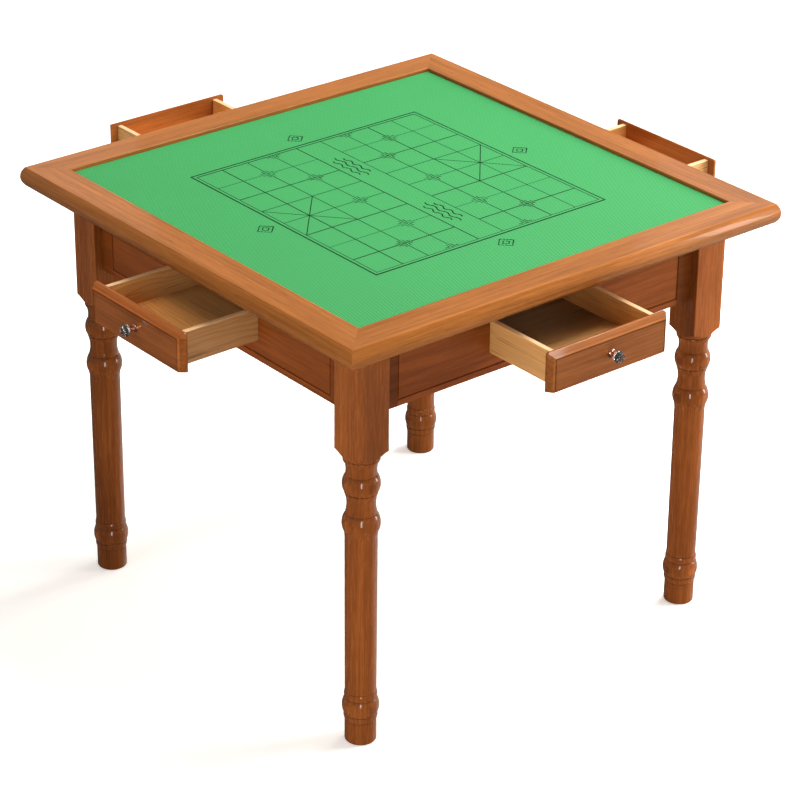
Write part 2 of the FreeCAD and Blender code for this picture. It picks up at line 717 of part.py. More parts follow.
def make_knob(prefix, quarter, opened):
    """A turned metal base and a faceted crystal in the middle of a drawer front."""
    base = new_body(prefix + "_knob_base")
    section = new_sketch(base, prefix + "_knob_section", "XY")
    add_loop(section, [
        ("0", "0"),
        ("0", "-knob_cup_end"),
        ("knob_cup_radius", "-knob_cup_end", "-knob_bend"),
        ("knob_stem_radius", "-knob_stem_end"),
        ("knob_stem_radius", "-knob_stem_start", "-knob_bend"),
        ("knob_plate_radius", "-knob_plate_thickness"),
        ("knob_plate_radius", "0"),
    ])
    spin = base.newObject("PartDesign::Revolution", prefix + "_knob_spin")
    spin.Profile = section
    spin.ReferenceAxis = (section, ["V_Axis"])
    spin.Angle = 360
    crystal = new_body(prefix + "_knob_crystal")
    rings = (("crystal_back_radius", "knob_cup_end", 0),
             ("crystal_radius", "knob_cup_end + crystal_girdle", 22.5),
             ("crystal_face_radius", "knob_cup_end + crystal_length", 0))
    sections = []
    for number, (radius, distance, start) in enumerate(rings):
        ring = new_sketch(crystal, f"{prefix}_crystal_ring_{number}", "XZ", distance)
        add_loop(ring, [
            (f"{radius} * cos({start + angle} deg)", f"{radius} * sin({start + angle} deg)")
            for angle in range(0, 360, 45)
        ])
        sections.append(ring)
    for number in range(len(sections) - 1):
        stone = crystal.newObject("PartDesign::AdditiveLoft", f"{prefix}_crystal_{number}")
        stone.Profile = sections[number]
        stone.Sections = [sections[number + 1]]
        stone.Ruled = True
        document.recompute()
    for body in (base, crystal):
        place(body, quarter, "0", f"-(field_face + {opened})", "front_bottom + front_height / 2")
    return [base, crystal]


def make_drawer(prefix, quarter, depth):
    """All the pieces of one drawer, standing open."""
    opened = prefix + "_open"
    inner = "box_inner_half"
    tongue = f"{inner} + box_bottom_tongue"
    back_face = f"{depth} - apron_face"
    pieces = [
        make_drawer_front(prefix + "_front", quarter, opened),
        make_drawer_side(prefix + "_side_left", quarter, opened, depth, right=False),
        make_drawer_side(prefix + "_side_right", quarter, opened, depth, right=True),
        box(prefix + "_back", quarter, "-" + inner, inner,
            f"{back_face} - box_side_thickness", back_face,
            "floor_top", "box_top - box_back_drop", opened),
        box(prefix + "_bottom", quarter, f"-({tongue})", tongue,
            "-(apron_face + box_bottom_tongue)", back_face,
            "floor_bottom", "floor_top", opened),
    ]
    return pieces + make_knob(prefix, quarter, opened)


# ---------------------------------------------------------------- the table

SIDES = ("front", "right", "back", "left")
CORNERS = ("front_left", "front_right", "back_right", "back_left")

parts = []
for turn, side_name in enumerate(SIDES):
    parts.append(make_top_rail("top_rail_" + side_name, turn))
    parts.append(make_apron("apron_" + side_name, turn))
parts += make_panel()
for turn, corner_name in enumerate(CORNERS):
    parts.append(make_leg("leg_" + corner_name, turn))
    parts.append(make_corner_block("corner_block_" + corner_name, turn))
parts.append(make_bolts())
parts.append(make_nuts())
parts.append(make_long_runner("runner_long_right", 0))
parts.append(make_long_runner("runner_long_left", 2))
for turn, side_name in ((1, "right"), (3, "left")):
    parts.append(make_short_runner(f"runner_{side_name}_a", turn, ""))
    parts.append(make_short_runner(f"runner_{side_name}_b", turn, "-"))
parts += make_kickers()
for turn, side_name in enumerate(SIDES):
    box_depth = "short_box_depth" if turn % 2 else "long_box_depth"
    parts += make_drawer(side_name + "_drawer", turn, box_depth)

document.recompute()
for item in document.Objects:
    if "Invalid" in item.State or "Error" in item.State:
        raise RuntimeError(f"{item.Label} did not compute: {item.State}")
os.makedirs("parts", exist_ok=True)
for item in parts:
    if item.Shape.isNull() or not item.Shape.isValid():
        raise RuntimeError(f"{item.Label} has no valid shape")
    item.Shape.exportStep(f"parts/{item.Label}.step")
print(f"{len(parts)} sub-parts written")
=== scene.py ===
import math

import bmesh
import bpy
from mathutils import Matrix, Vector


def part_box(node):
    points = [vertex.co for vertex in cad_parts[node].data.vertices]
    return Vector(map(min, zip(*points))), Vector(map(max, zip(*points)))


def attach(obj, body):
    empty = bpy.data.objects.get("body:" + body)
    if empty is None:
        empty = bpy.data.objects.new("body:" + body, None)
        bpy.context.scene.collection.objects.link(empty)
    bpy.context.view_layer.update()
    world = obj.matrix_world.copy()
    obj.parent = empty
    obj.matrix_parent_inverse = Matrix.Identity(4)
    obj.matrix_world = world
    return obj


# Looks of a square game table with a drawer on each side: stained and lacquered wood,
# unfinished pine drawers, a ribbed green mat with a printed board, and cut-glass knobs.
# Metres, +Z up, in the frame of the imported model.

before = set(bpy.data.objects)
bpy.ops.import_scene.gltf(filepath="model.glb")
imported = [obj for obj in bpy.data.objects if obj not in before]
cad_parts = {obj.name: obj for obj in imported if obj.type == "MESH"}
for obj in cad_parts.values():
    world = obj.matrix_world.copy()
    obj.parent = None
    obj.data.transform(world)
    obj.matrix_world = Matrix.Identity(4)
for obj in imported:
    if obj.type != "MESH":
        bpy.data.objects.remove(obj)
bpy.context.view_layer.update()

SIDES = ("front", "right", "back", "left")
CORNERS = ("front_left", "front_right", "back_right", "back_left")
ALONG_X, ALONG_Y, ALONG_Z = "X", "Y", "Z"
ALONG_SIDE = {"front": ALONG_X, "back": ALONG_X, "left": ALONG_Y, "right": ALONG_Y}
ACROSS_SIDE = {"front": ALONG_Y, "back": ALONG_Y, "left": ALONG_X, "right": ALONG_X}
OUTWARD = {"front": (ALONG_Y, -1), "right": (ALONG_X, 1), "back": (ALONG_Y, 1), "left": (ALONG_X, -1)}

mat_low, mat_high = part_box("playing_mat")
MIDDLE = (mat_low + mat_high) / 2
MAT_TOP = mat_high.z
MM = 0.001


def coordinate(corner, axis):
    """The X, Y or Z of a corner, by the axis's name."""
    return corner["XYZ".index(axis)]


def direction(azimuth, elevation):
    """The unit vector that points out at an azimuth, 0 at -Y and 90 at +X, and an elevation."""
    az, el = math.radians(azimuth), math.radians(elevation)
    return Vector((math.sin(az) * math.cos(el), -math.cos(az) * math.cos(el), math.sin(el)))


# ---------------------------------------------------------------- shader helpers


class Nodes:
    """Shader nodes that are added to a tree one at a time."""

    def __init__(self, tree):
        self.tree = tree

    def add(self, kind, inputs=None, **settings):
        """A node; an input takes another node's socket or a plain value."""
        node = self.tree.nodes.new("ShaderNode" + kind)
        for key, value in settings.items():
            setattr(node, key, value)
        for key, value in (inputs or {}).items():
            if isinstance(value, bpy.types.NodeSocket):
                self.tree.links.new(value, node.inputs[key])
            else:
                node.inputs[key].default_value = value
        return node

    def math(self, operation, first, second=0.0, third=0.0):
        inputs = {0: first, 1: second, 2: third}
        return self.add("Math", inputs, operation=operation).outputs[0]

    def noise(self, vector, scale, detail=2.0, roughness=0.5, distortion=0.0):
        inputs = {"Vector": vector, "Scale": scale, "Detail": detail,
                  "Roughness": roughness, "Distortion": distortion}
        return self.add("TexNoise", inputs).outputs["Fac"]

    def stretch(self, vector, scale, offset=(0, 0, 0)):
        inputs = {"Vector": vector, "Scale": scale, "Location": offset}
        return self.add("Mapping", inputs).outputs["Vector"]

    def figure(self, space, repeats, detail, roughness=0.5, distortion=0.0, offset=(0, 0, 0)):
        """Noise that repeats so often in a metre, along the grain and across it."""
        return self.noise(self.stretch(space, repeats, offset), 1.0, detail, roughness, distortion)

    def ramp(self, value, low, high, to_low=0.0, to_high=1.0, kind="SMOOTHSTEP"):
        """A value between two limits, spread over another range and held at its ends."""
        inputs = {"Value": value, "From Min": low, "From Max": high,
                  "To Min": to_low, "To Max": to_high}
        return self.add("MapRange", inputs, interpolation_type=kind).outputs["Result"]

    def mix(self, factor, first, second):
        """Two colours mixed; a colour is a socket or three numbers."""
        node = self.add("Mix", {"Factor": factor}, data_type="RGBA")
        for slot, colour in ((6, first), (7, second)):
            if isinstance(colour, bpy.types.NodeSocket):
                self.tree.links.new(colour, node.inputs[slot])
            else:
                node.inputs[slot].default_value = (*colour, 1.0)
        return node.outputs[2]

    def scale_colour(self, colour, factor):
        """A colour, as a socket or three numbers, made lighter or darker by a socket's value."""
        node = self.add("VectorMath", {0: colour, "Scale": factor}, operation="SCALE")
        return node.outputs["Vector"]

    def bump(self, height, depth):
        inputs = {"Height": height, "Strength": 1.0, "Distance": depth}
        return self.add("Bump", inputs).outputs["Normal"]


class Shader(Nodes):
    """A material, with the nodes of its tree."""

    def __init__(self, name):
        self.material = bpy.data.materials.new(name)
        self.material.use_nodes = True
        super().__init__(self.material.node_tree)
        self.tree.nodes.clear()

    def finish(self, **values):
        """The Principled shader; an underscore in a name stands for a space."""
        shader = self.add("BsdfPrincipled")
        for key, value in values.items():
            socket = shader.inputs[key.replace("_", " ")]
            if isinstance(value, bpy.types.NodeSocket):
                self.tree.links.new(value, socket)
            elif isinstance(value, tuple) and len(value) == 3:
                socket.default_value = (*value, 1.0)
            else:
                socket.default_value = value
        output = self.add("OutputMaterial")
        self.tree.links.new(shader.outputs["BSDF"], output.inputs["Surface"])
        return self.material


def whole_place(shader):
    """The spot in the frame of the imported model, in metres."""
    return shader.add("TexCoord").outputs["Object"]


def split_place(shader):
    """The X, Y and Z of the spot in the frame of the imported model."""
    return shader.add("SeparateXYZ", {"Vector": whole_place(shader)}).outputs


def distance_from(shader, value, middle):
    return shader.math("ABSOLUTE", shader.math("SUBTRACT", value, middle))


# ---------------------------------------------------------------- painted light and shade of single boards

rail_low, rail_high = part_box("top_rail_front")
CREASE_REACH = MIDDLE.y - rail_low.y - 7 * MM
CREASE_CORE = 0.3 * MM
CREASE_HALF = 1.6 * MM
# Painted shade on the nose of each rail, as a factor of its colour.
NOSE_PAINTED_SHADE = 0.66


def rail_shade(shader, crease_highlight):
    """Painted shade and a painted highlight: the nose is darker than the flat, and the crease between
    them is lighter.
    """
    place = split_place(shader)
    height = place["Z"]
    nose = shader.ramp(height, rail_low.z, rail_high.z - 3 * MM, NOSE_PAINTED_SHADE, 1.0)
    reach = shader.math("MAXIMUM", distance_from(shader, place["X"], MIDDLE.x),
                        distance_from(shader, place["Y"], MIDDLE.y))
    beside = distance_from(shader, reach, CREASE_REACH)
    crease = shader.ramp(beside, CREASE_CORE, CREASE_HALF, crease_highlight, 0.0)
    near_top = shader.ramp(height, rail_high.z - 5 * MM, rail_high.z - 2 * MM)
    return shader.math("ADD", nose, shader.math("MULTIPLY", crease, near_top))


leg_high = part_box("leg_front_left")[1]
APRON_LINE = MIDDLE.x - leg_high.x - 30 * MM


def apron_shade(shader, along, tone):
    """Painted shade beside the legs: the ends of an apron, beyond its cut line, are as dark as the
    tone says.
    """
    away = distance_from(shader, split_place(shader)[along], coordinate(MIDDLE, along))
    return shader.ramp(away, APRON_LINE - 1 * MM, APRON_LINE + 1 * MM, 1.0, tone)


FACE_SKIN = 1 * MM


def leg_shade(shader, low, face_lights):
    """Painted light and shade: the two faces on a leg's low side are lighter or darker than the rest
    of it.
    """
    place = split_place(shader)
    shades = []
    for axis, tone in face_lights.items():
        face = coordinate(low, axis)
        shades.append(shader.ramp(place[axis], face + FACE_SKIN, face + 2 * FACE_SKIN, tone, 1.0))
    return shader.math("MULTIPLY", *shades)


def inward(shader, side, low, high):
    """How far a spot lies in from the outer face of a drawer's piece."""
    axis, sign = OUTWARD[side]
    outer = coordinate(high if sign > 0 else low, axis)
    return shader.math("MULTIPLY", shader.math("SUBTRACT", split_place(shader)[axis], outer), -sign)


SLOPE_WIDTH = 9 * MM
SLOPE_DEPTH = 12 * MM
SLOPE_BLUR = 0.4 * MM
# Painted sheen on the sloping border of a drawer front, and a painted highlight line along its inner
# edge.
SLOPE_SHEEN = 0.08
EDGE_LINE_OUT = 1.5 * MM
EDGE_LINE_HIGHLIGHT = 0.42


def front_shade(shader, side, low, high, top_sheen):
    """A drawer front's sloping border is paler, most of all on top and along its inner edge: a
    painted sheen, with a painted highlight along the inner edge.
    """
    place = split_place(shader)
    along = ALONG_SIDE[side]
    to_start = shader.math("SUBTRACT", place[along], coordinate(low, along))
    to_end = shader.math("SUBTRACT", coordinate(high, along), place[along])
    to_top = shader.math("SUBTRACT", high.z, place["Z"])
    reach = shader.math("MINIMUM", shader.math("MINIMUM", to_start, to_end), to_top)
    slope = shader.ramp(reach, SLOPE_WIDTH - SLOPE_BLUR, SLOPE_WIDTH, SLOPE_SHEEN, 0.0)
    on_top = shader.ramp(to_top, SLOPE_WIDTH - SLOPE_BLUR, SLOPE_WIDTH, top_sheen, 0.0)
    beside = distance_from(shader, reach, SLOPE_WIDTH - EDGE_LINE_OUT)
    line = shader.ramp(beside, 0.5 * MM, 1.3 * MM, EDGE_LINE_HIGHLIGHT, 0.0)
    paler = shader.math("ADD", shader.math("ADD", slope, on_top), line)
    depth = inward(shader, side, low, high)
    outer = shader.ramp(depth, SLOPE_DEPTH, SLOPE_DEPTH + 1 * MM, 1.0, 0.0)
    return shader.math("MULTIPLY_ADD", paler, outer, 1.0)


# Painted light near the front of a drawer bottom, fading to painted shade deeper in.
FRONT_LIT_TO = 40 * MM
SHADED_FROM = 150 * MM
FRONT_LIT, SHADED = 3.9, 0.72


def bottom_shade(shader, side, low, high):
    """Painted light and shade: a drawer's bottom is far lighter near its front, where its colour can
    pass 1, and darker deeper in, under the table top.
    """
    depth = inward(shader, side, low, high)
    return shader.ramp(depth, FRONT_LIT_TO, SHADED_FROM, FRONT_LIT, SHADED)


def with_extra(shader, shade, extra):
    """A shade times one more, which is given as a function and its values."""
    if extra is None:
        return shade
    one_more, *values = extra
    return shader.math("MULTIPLY", shade, one_more(shader, *values))


# ---------------------------------------------------------------- woods

TURN_GRAIN = {
    ALONG_X: (0.0, 0.0, 0.0),
    ALONG_Y: (0.0, 0.0, -math.pi / 2),
    ALONG_Z: (0.0, math.pi / 2, 0.0),
}
LOG_STEP = (1.37, 0.71, 0.43)


def grain_space(shader, along, seed):
    """Coordinates in metres with X along the grain, moved to another spot of the log."""
    turning = {"Vector": whole_place(shader), "Rotation": TURN_GRAIN[along]}
    turned = shader.add("Mapping", turning).outputs["Vector"]
    return shader.stretch(turned, (1, 1, 1), tuple(step * seed for step in LOG_STEP))


# How often each layer of the hardwood's figure repeats in a metre, along and across the grain.
BROAD = (1.6, 14, 14)
STREAKS = (5, 190, 190)
FLECKS = (26, 520, 520)
PORES = (90, 1500, 1500)
LACQUER_TINT = (1.0, 0.62, 0.40)


def stained_wood(name, along, seed, colours, gloss, coat, extra=None):
    """Fine straight-grained hardwood, stained and lacquered; extra gives one more shade, which is
    painted light and shade.
    """
    light, dark = colours
    shader = Shader(name)
    space = grain_space(shader, along, seed)
    broad = shader.figure(space, BROAD, 3.0, 0.5, 0.6)
    streak = shader.figure(space, STREAKS, 5.0, 0.62, 0.25)
    fleck = shader.figure(space, FLECKS, 3.0, 0.6)
    pore = shader.figure(space, PORES, 2.0, 0.5)
    colour = shader.mix(shader.ramp(broad, 0.28, 0.72), dark, light)
    shade = shader.ramp(streak, 0.3, 0.7, 0.80, 1.17)
    shade = shader.math("MULTIPLY", shade, shader.ramp(fleck, 0.3, 0.72, 0.88, 1.09))
    shade = shader.math("MULTIPLY", shade, shader.ramp(pore, 0.60, 0.72, 1.0, 0.82))
    colour = shader.scale_colour(colour, with_extra(shader, shade, extra))
    relief = shader.math("ADD", shader.math("MULTIPLY", streak, 0.6), fleck)
    return shader.finish(
        Base_Color=colour, Roughness=shader.ramp(fleck, 0.2, 0.8, gloss - 0.04, gloss + 0.06),
        Specular_IOR_Level=0.15, Specular_Tint=LACQUER_TINT, Coat_Weight=coat,
        Coat_Roughness=0.05, Coat_IOR=1.45, Normal=shader.bump(relief, 0.02 * MM))


# The same for pine.
RING_WANDER = (3.2, 9, 9)
KNOT_CELLS = (3.1, 9.5, 9.5)
PATCHES = (2.2, 12, 12)
FIBRES = (9, 420, 420)
RESIN_LINES = (8, 230, 230)
RING_TURN = 950.0
WANDER_DEPTH = 0.060
KNOT_DEPTH = 0.016
KNOT_HEART = (0.11, 0.042, 0.016)
NEAR_KNOT = 0.55
# Painted highlight on the top edge of a drawer side.
LIT_TOP_EDGE = (0.80, 0.50, 0.25)


def pine_knots(shader, space, knots):
    """How near a knot each spot is, and how near its heart; knots is the share of cells with one."""
    cell = shader.add("TexVoronoi", {"Vector": shader.stretch(space, KNOT_CELLS),
                                     "Scale": 1.0, "Randomness": 1.0})
    draw = shader.add("SeparateColor", {"Color": cell.outputs["Color"]}).outputs[0]
    chosen = shader.math("LESS_THAN", draw, knots)
    away = cell.outputs["Distance"]
    near = shader.math("MULTIPLY", chosen, shader.ramp(away, 0.02, 0.34, 1.0, 0.0))
    heart = shader.math("MULTIPLY", chosen, shader.ramp(away, 0.04, 0.075, 1.0, 0.0))
    return near, heart


def pine_rings(shader, space, near_knot):
    """The late wood of the growth rings, which wander along the board and swerve at a knot."""
    across = shader.add("SeparateXYZ", {"Vector": space}).outputs
    wander = shader.figure(space, RING_WANDER, 3.0, 0.55)
    depth = shader.math("ADD", across["Y"], shader.math("MULTIPLY", across["Z"], 0.6))
    depth = shader.math("MULTIPLY_ADD", wander, WANDER_DEPTH, depth)
    depth = shader.math("MULTIPLY_ADD", near_knot, KNOT_DEPTH, depth)
    return shader.ramp(shader.math("SINE", shader.math("MULTIPLY", depth, RING_TURN)), 0.1, 1.0)


def pine(name, along, seed, colours, knots, top=None, extra=None):
    """Unfinished pine: growth rings, resin lines, a few knots and a top edge made paler by a painted
    highlight.
    """
    light, dark = colours
    shader = Shader(name)
    space = grain_space(shader, along, seed)
    near_knot, heart = pine_knots(shader, space, knots)
    patchy = shader.figure(space, PATCHES, 2.0, offset=(3, 1, 2))
    late = shader.math("MULTIPLY", pine_rings(shader, space, near_knot),
                       shader.ramp(patchy, 0.35, 0.62, 0.06, 0.58))
    fibre = shader.figure(space, FIBRES, 4.0, 0.6)
    resin = shader.figure(space, RESIN_LINES, 1.0, offset=(5, 2, 7))
    colour = shader.mix(late, light, dark)
    colour = shader.mix(near_knot, colour, tuple(NEAR_KNOT * part for part in dark))
    colour = shader.mix(heart, colour, KNOT_HEART)
    shade = shader.math("MULTIPLY", shader.ramp(fibre, 0.25, 0.75, 0.86, 1.1),
                        shader.ramp(patchy, 0.3, 0.7, 0.9, 1.06))
    shade = shader.math("MULTIPLY", shade, shader.ramp(resin, 0.62, 0.72, 1.0, 0.52))
    colour = shader.scale_colour(colour, with_extra(shader, shade, extra))
    if top is not None:
        edge = shader.ramp(split_place(shader)["Z"], top - 1.0 * MM, top - 0.5 * MM)
        colour = shader.mix(edge, colour, LIT_TOP_EDGE)
    return shader.finish(Base_Color=colour, Roughness=0.62,
                         Normal=shader.bump(fibre, 0.06 * MM))


def plywood(name):
    """The board under the mat: thin veneers, seen only from below."""
    shader = Shader(name)
    space = grain_space(shader, ALONG_X, 5)
    leaf = shader.figure(space, (2.4, 22, 22), 4.0, 0.6, 1.2)
    fibre = shader.figure(space, (12, 500, 500), 3.0)
    colour = shader.mix(shader.ramp(leaf, 0.3, 0.7), (0.50, 0.33, 0.18), (0.64, 0.46, 0.28))
    colour = shader.scale_colour(colour, shader.ramp(fibre, 0.3, 0.7, 0.88, 1.08))
    return shader.finish(Base_Color=colour, Roughness=0.7,
                         Normal=shader.bump(fibre, 0.08 * MM))


# ---------------------------------------------------------------- cloth, ink, metal and glass

MAT_GREEN = (0.034, 0.285, 0.078)
WEAVE_PITCH = 3.9 * MM
RIB_SHARE = 0.30
THREAD_SHARE = 0.20


def mat_cloth(name):
    """Ribbed green cloth: threads both ways, the ribs along X the stronger ones."""
    shader = Shader(name)
    place = split_place(shader)
    turn = 2 * math.pi / WEAVE_PITCH
    rib = shader.math("SINE", shader.math("MULTIPLY", place["Y"], turn))
    thread = shader.math("SINE", shader.math("MULTIPLY", place["X"], turn))
    weave = shader.math("ADD", shader.math("MULTIPLY", rib, RIB_SHARE),
                        shader.math("MULTIPLY", thread, THREAD_SHARE))
    weave = shader.math("ADD", weave, 0.5)
    whole = whole_place(shader)
    fuzz = shader.noise(whole, 900.0, 3.0, 0.6)
    cloud = shader.noise(whole, 3.0, 2.0)
    shade = shader.math("MULTIPLY", shader.ramp(weave, 0.0, 1.0, 0.25, 1.66),
                        shader.ramp(fuzz, 0.3, 0.7, 0.95, 1.05))
    shade = shader.math("MULTIPLY", shade, shader.ramp(cloud, 0.3, 0.7, 0.98, 1.02))
    height = shader.math("MULTIPLY_ADD", fuzz, 0.2, weave)
    return shader.finish(Base_Color=shader.scale_colour(MAT_GREEN, shade), Roughness=0.62,
                         Specular_IOR_Level=0.30, Normal=shader.bump(height, 0.04 * MM))


def ink(name):
    """Dark green print that has soaked into the cloth unevenly."""
    shader = Shader(name)
    soak = shader.noise(whole_place(shader), 700.0, 3.0, 0.6)
    colour = shader.mix(shader.ramp(soak, 0.3, 0.75), (0.002, 0.014, 0.005), (0.004, 0.026, 0.009))
    return shader.finish(Base_Color=colour, Roughness=0.8, Specular_IOR_Level=0.12,
                         Normal=shader.bump(soak, 0.05 * MM))


def polished_metal(name, colour, roughness):
    """Plated metal with hair-fine polishing marks."""
    shader = Shader(name)
    marks = shader.figure(whole_place(shader), (300, 300, 2600), 3.0)
    tint = shader.scale_colour(colour, shader.ramp(marks, 0.3, 0.7, 0.94, 1.03))
    rough = shader.ramp(marks, 0.3, 0.7, roughness, roughness + 0.08)
    return shader.finish(Base_Color=tint, Metallic=1.0, Roughness=rough,
                         Normal=shader.bump(marks, 0.01 * MM))


def cut_glass(name):
    """Clear crystal with a grey tint deep inside; the grey is painted shade that stands in for the
    dark of its inner reflections.
    """
    shader = Shader(name)
    cloud = shader.noise(whole_place(shader), 160.0, 2.0)
    colour = shader.mix(shader.ramp(cloud, 0.3, 0.7), (0.58, 0.60, 0.62), (0.78, 0.79, 0.80))
    return shader.finish(Base_Color=colour, Roughness=0.02, IOR=1.58, Transmission_Weight=0.95)


# ---------------------------------------------------------------- finish of the CAD nodes

# The light and the dark colour of each wood.
HONEY = ((0.370, 0.127, 0.028), (0.270, 0.086, 0.016))
BROWN = ((0.242, 0.060, 0.009), (0.163, 0.036, 0.005))
LEG = ((0.300, 0.082, 0.014), (0.200, 0.050, 0.008))
FRONT = ((0.365, 0.122, 0.028), (0.262, 0.078, 0.017))
PINE = ((0.600, 0.310, 0.098), (0.440, 0.190, 0.050))
PLAIN = ((0.60, 0.40, 0.21), (0.44, 0.25, 0.11))
STEEL_COLOUR = (0.62, 0.62, 0.64)
# The warm tint of the plated knob metal is a painted reflection of the wood round it.
WARM_METAL_TINT = (0.78, 0.44, 0.30)

# How light each board is against the colours above, matched to the photograph. These values are
# partly the boards' own colour and partly painted light and shade.
LEG_TONE = {"front_left": 0.90, "front_right": 0.82, "back_right": 0.58, "back_left": 0.57}
# Painted light and shade on the two low-side faces of each leg block.
FACE_LIGHT_AND_SHADE = {"front_left": {"X": 1.20, "Y": 0.86}, "front_right": {"X": 0.66, "Y": 1.38},
             "back_right": {"X": 1.0, "Y": 1.0}, "back_left": {"X": 1.46, "Y": 0.96}}
APRON_TONE = {"front": 0.84, "right": 1.0, "back": 1.0, "left": 0.93}
# Painted shade on the ends of each apron, beside the legs.
APRON_END_SHADE = {"front": 0.60, "right": 0.85, "back": 0.85, "left": 0.85}
FRONT_TONE = {"front": 0.66, "right": 0.95, "back": 1.14, "left": 0.66}
BOTTOM_TONE = {"front": 0.46, "right": 0.60, "back": 0.60, "left": 0.95}
SIDE_TONE = {"front": (1.16, 1.05), "right": (1.05, 1.05), "back": (1.05, 1.05),
             "left": (1.15, 0.57)}
# How much lighter the crease of each rail and the top border of each drawer front are:
# a painted highlight on the crease and a painted sheen on the border.
CREASE_HIGHLIGHT = {"front": 0.40, "right": 0.20, "back": 0.20, "left": 0.0}
TOP_BORDER_SHEEN = {"front": 0.15, "right": 0.0, "back": 0.0, "left": 0.42}
# Below 1 a board is warmer than the colours above, and over 1 it is cooler.
FRONT_WARMTH = {"front": 0.94, "right": 1.0, "back": 1.0, "left": 0.86}
SIDE_WARMTH = {"front": (0.95, 0.95), "right": (1.0, 1.0), "back": (1.0, 1.0),
               "left": (1.06, 0.87)}
PALEST = 0.9


def toned(colours, tone, warmth=1.0):
    """A wood's two colours made lighter by a tone, and warmer as the warmth goes down from 1."""
    return [tuple(min(tone * warmth ** number * part, PALEST) for number, part in enumerate(colour))
            for colour in colours]


def paint(node, material):
    """Give a CAD node one material."""
    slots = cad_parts[node].data.materials
    slots.clear()
    slots.append(material)


def finish_woodwork():
    """The rails, aprons and legs."""
    for number, side in enumerate(SIDES):
        along = ALONG_SIDE[side]
        paint("top_rail_" + side, stained_wood(
            "honey_wood_" + side, along, 1 + number, HONEY, 0.30, 0.22,
            (rail_shade, CREASE_HIGHLIGHT[side])))
        paint("apron_" + side, stained_wood(
            "apron_wood_" + side, along, 6 + number, toned(BROWN, APRON_TONE[side]), 0.32, 0.25,
            (apron_shade, along, APRON_END_SHADE[side])))
    for number, corner in enumerate(CORNERS):
        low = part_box("leg_" + corner)[0]
        paint("leg_" + corner, stained_wood(
            "leg_wood_" + corner, ALONG_Z, 11 + number, toned(LEG, LEG_TONE[corner]), 0.25, 0.85,
            (leg_shade, low, FACE_LIGHT_AND_SHADE[corner])))


def finish_inside():
    """What the rails and aprons hide: blocks, runners, kickers, bolts and the mat's board."""
    hidden = {along: pine("plain_wood_" + along, along, 30 + number, PLAIN, 0.12)
              for number, along in enumerate((ALONG_X, ALONG_Y))}
    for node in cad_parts:
        if node.startswith(("runner_", "kicker_")):
            low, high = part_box(node)
            long_way = ALONG_X if high.x - low.x > high.y - low.y else ALONG_Y
            paint(node, hidden[long_way])
        elif node.startswith("corner_block_"):
            paint(node, hidden[ALONG_X])
    paint("core_panel", plywood("panel_board"))
    steel = polished_metal("bolt_steel", STEEL_COLOUR, 0.28)
    paint("leg_bolts", steel)
    paint("leg_nuts", steel)


def finish_drawer(number, side):
    """The wooden pieces of one drawer."""
    drawer = side + "_drawer_"
    along, across = ALONG_SIDE[side], ACROSS_SIDE[side]
    paint(drawer + "front", stained_wood(
        "front_wood_" + side, along, 16 + number,
        toned(FRONT, FRONT_TONE[side], FRONT_WARMTH[side]), 0.32, 0.50,
        (front_shade, side, *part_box(drawer + "front"), TOP_BORDER_SHEEN[side])))
    paint(drawer + "bottom", pine(
        "bottom_pine_" + side, along, 40 + number, toned(PINE, BOTTOM_TONE[side]), 0.16,
        extra=(bottom_shade, side, *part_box(drawer + "bottom"))))
    paint(drawer + "back", pine("back_pine_" + side, along, 50 + number, PINE, 0.1))
    for hand, tone, warmth in zip(("left", "right"), SIDE_TONE[side], SIDE_WARMTH[side]):
        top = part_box(drawer + "side_" + hand)[1].z
        paint(drawer + "side_" + hand, pine(
            f"side_pine_{side}_{hand}", across, 60 + 2 * number + len(hand),
            toned(PINE, tone, warmth), 0.12, top))


def finish_drawers():
    """All four drawers, with their knobs."""
    metal = polished_metal("knob_metal", WARM_METAL_TINT, 0.10)
    glass = cut_glass("knob_crystal")
    for number, side in enumerate(SIDES):
        finish_drawer(number, side)
        paint(side + "_drawer_knob_base", metal)
        paint(side + "_drawer_knob_crystal", glass)


# ---------------------------------------------------------------- printed board

BOARD_HALF_X = 241.4 * MM
BOARD_HALF_Y = 247.5 * MM
BORDER_GAP = 7.0 * MM
BORDER_LINE = 2.8 * MM
INNER_LINE = 1.5 * MM
GRID_LINE = 1.6 * MM
RANKS = 9
FILES = 8
RIVER_FROM, RIVER_TO = 4, 5
INK_HEIGHT = 0.10 * MM
DIAGONAL_HEIGHT = 0.07 * MM


def grid_x(rank):
    """Place of a line across X, counted from one short end of the board."""
    half = BOARD_HALF_X - BORDER_GAP
    return -half + 2 * half * rank / RANKS


def grid_y(file):
    """Place of a line across Y, counted from one long side of the board."""
    half = BOARD_HALF_Y - BORDER_GAP
    return -half + 2 * half * file / FILES


def strip_x(x, y_low, y_high, width):
    """A strip that runs along Y at one X, as its limits in X and in Y."""
    return (x - width / 2, x + width / 2, y_low - width / 2, y_high + width / 2)


def strip_y(y, x_low, x_high, width):
    """A strip that runs along X at one Y, as its limits in X and in Y."""
    return (x_low - width / 2, x_high + width / 2, y - width / 2, y + width / 2)


def frame_strips(half_x, half_y, width):
    strips = [strip_x(sign * half_x, -half_y, half_y, width) for sign in (-1, 1)]
    return strips + [strip_y(sign * half_y, -half_x, half_x, width) for sign in (-1, 1)]


STAR_GAP = 4.6 * MM
STAR_ARM = 8.5 * MM
STAR_LINE = 1.5 * MM


